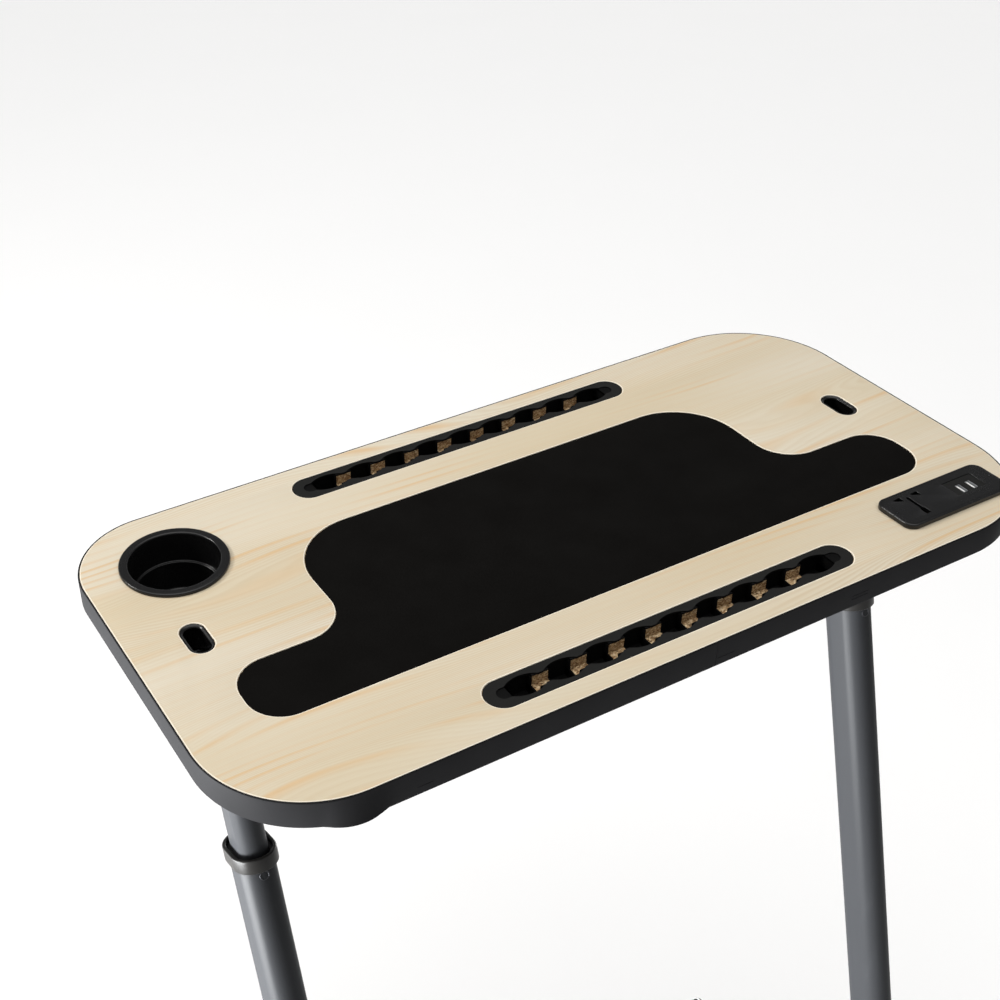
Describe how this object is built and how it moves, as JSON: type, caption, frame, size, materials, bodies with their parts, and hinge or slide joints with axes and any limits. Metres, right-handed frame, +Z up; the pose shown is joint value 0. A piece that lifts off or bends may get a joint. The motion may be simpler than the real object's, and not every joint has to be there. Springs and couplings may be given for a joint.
{
  "type": "bike trainer desk",
  "caption": "Laminated desktop with mat, cup holder, scalloped slots and power outlet on leaning telescopic oval legs with caster feet.",
  "frame": {"origin": "on the floor, under the centre of the whole desk's outline seen from above", "axes": "+X along the desk from the cup end to the outlet end, +Y towards the rider, +Z up"},
  "size_m": [0.8, 0.56, 1.125],
  "materials": {
    "chipboard": "raw chipboard, fibrous and matt, seen only as the webs in the slots",
    "maple_laminate": "pale wood-grain laminate, satin, grain along the desk",
    "backing_laminate": "dark balancing laminate, matt",
    "edge_band": "near-black edge band, satin",
    "mat": "black mat with a fine grain, matt",
    "black_plastic": "black moulded plastic, satin to glossy",
    "slot_plastic": "black moulded plastic, satin",
    "brass": "bare brass contacts",
    "bright_steel": "zinc-plated steel",
    "dark_steel": "black painted steel, satin",
    "grey_paint": "dark grey powder coat, satin",
    "collar_plastic": "glossy black-brown collar",
    "nylon": "black nylon slide bush",
    "caster_plastic": "dark grey tread on a moulded wheel"
  },
  "bodies": {
    "desktop": {"board_core": "chipboard", "top_laminate": "maple_laminate", "bottom_laminate": "backing_laminate", "edge_band": "edge_band", "desk_mat": "mat", "slot_insert_near": "slot_plastic", "slot_insert_far": "slot_plastic", "cup_holder": "black_plastic", "power_faceplate": "black_plastic", "power_housing": "black_plastic", "socket_contact_left": "brass", "socket_contact_right": "brass", "socket_contact_earth": "brass", "usb_module": "slot_plastic", "usb_port_left": "bright_steel", "usb_port_right": "bright_steel", "power_screw_left": "bright_steel", "power_screw_right": "bright_steel", "power_inlet": "slot_plastic", "cable_grommet_left": "black_plastic", "top_bracket_left": "dark_steel", "inner_tube_left": "grey_paint", "guide_plug_left": "nylon", "cable_grommet_right": "black_plastic", "top_bracket_right": "dark_steel", "inner_tube_right": "grey_paint", "guide_plug_right": "nylon"},
    "base": {"outer_tube_left": "grey_paint", "tube_collar_left": "collar_plastic", "tube_bush_left": "nylon", "foot_left": "grey_paint", "foot_cap_left_rear": "black_plastic", "caster_stem_left_rear": "bright_steel", "foot_cap_left_front": "black_plastic", "caster_stem_left_front": "bright_steel", "outer_tube_right": "grey_paint", "tube_collar_right": "collar_plastic", "tube_bush_right": "nylon", "foot_right": "grey_paint", "foot_cap_right_rear": "black_plastic", "caster_stem_right_rear": "bright_steel", "foot_cap_right_front": "black_plastic", "caster_stem_right_front": "bright_steel", "cross_tube": "grey_paint"},
    "clamp_screw_left": {"clamp_screw_left": "dark_steel"},
    "caster_fork_left_rear": {"caster_fork_left_rear": "bright_steel"},
    "caster_wheel_left_rear": {"caster_wheel_left_rear": "caster_plastic"},
    "caster_fork_left_front": {"caster_fork_left_front": "bright_steel"},
    "caster_wheel_left_front": {"caster_wheel_left_front": "caster_plastic"},
    "brake_pedal_left_rear": {"brake_pedal_left_rear": "black_plastic"},
    "clamp_screw_right": {"clamp_screw_right": "dark_steel"},
    "caster_fork_right_rear": {"caster_fork_right_rear": "bright_steel"},
    "caster_wheel_right_rear": {"caster_wheel_right_rear": "caster_plastic"},
    "caster_fork_right_front": {"caster_fork_right_front": "bright_steel"},
    "caster_wheel_right_front": {"caster_wheel_right_front": "caster_plastic"},
    "brake_pedal_right_rear": {"brake_pedal_right_rear": "black_plastic"}
  },
  "joints": [
    {"name": "height_slide", "type": "slide", "parent": "base", "child": "desktop", "axis": [0, 0.2807, 0.9598], "range_m": [-0.125, 0.15]},
    {"name": "clamp_screw_turn_left", "type": "hinge", "parent": "base", "child": "clamp_screw_left", "pos_m": [-0.338, 0.01506, 0.91841], "axis": [0, -0.9598, 0.2807], "range_deg": [0, 360]},
    {"name": "clamp_screw_turn_right", "type": "hinge", "parent": "base", "child": "clamp_screw_right", "pos_m": [0.338, 0.01506, 0.91841], "axis": [0, -0.9598, 0.2807], "range_deg": [0, 360]},
    {"name": "caster_swivel_left_rear", "type": "hinge", "parent": "base", "child": "caster_fork_left_rear", "pos_m": [-0.338, -0.24601, 0.055], "axis": [0, 0, 1], "continuous": true},
    {"name": "caster_roll_left_rear", "type": "hinge", "parent": "caster_fork_left_rear", "child": "caster_wheel_left_rear", "pos_m": [-0.338, -0.22401, 0.025], "axis": [1, 0, 0], "continuous": true},
    {"name": "caster_swivel_left_front", "type": "hinge", "parent": "base", "child": "caster_fork_left_front", "pos_m": [-0.338, 0.14601, 0.055], "axis": [0, 0, 1], "continuous": true},
    {"name": "caster_roll_left_front", "type": "hinge", "parent": "caster_fork_left_front", "child": "caster_wheel_left_front", "pos_m": [-0.338, 0.16801, 0.025], "axis": [1, 0, 0], "continuous": true},
    {"name": "brake_press_left_rear", "type": "hinge", "parent": "caster_fork_left_rear", "child": "brake_pedal_left_rear", "pos_m": [-0.338, -0.21201, 0.052], "axis": [1, 0, 0], "range_deg": [-12, 0]},
    {"name": "caster_swivel_right_rear", "type": "hinge", "parent": "base", "child": "caster_fork_right_rear", "pos_m": [0.338, -0.24601, 0.055], "axis": [0, 0, 1], "continuous": true},
    {"name": "caster_roll_right_rear", "type": "hinge", "parent": "caster_fork_right_rear", "child": "caster_wheel_right_rear", "pos_m": [0.338, -0.22401, 0.025], "axis": [1, 0, 0], "continuous": true},
    {"name": "caster_swivel_right_front", "type": "hinge", "parent": "base", "child": "caster_fork_right_front", "pos_m": [0.338, 0.14601, 0.055], "axis": [0, 0, 1], "continuous": true},
    {"name": "caster_roll_right_front", "type": "hinge", "parent": "caster_fork_right_front", "child": "caster_wheel_right_front", "pos_m": [0.338, 0.16801, 0.025], "axis": [1, 0, 0], "continuous": true},
    {"name": "brake_press_right_rear", "type": "hinge", "parent": "caster_fork_right_rear", "child": "brake_pedal_right_rear", "pos_m": [0.338, -0.21201, 0.052], "axis": [1, 0, 0], "range_deg": [-12, 0]}
  ]
}
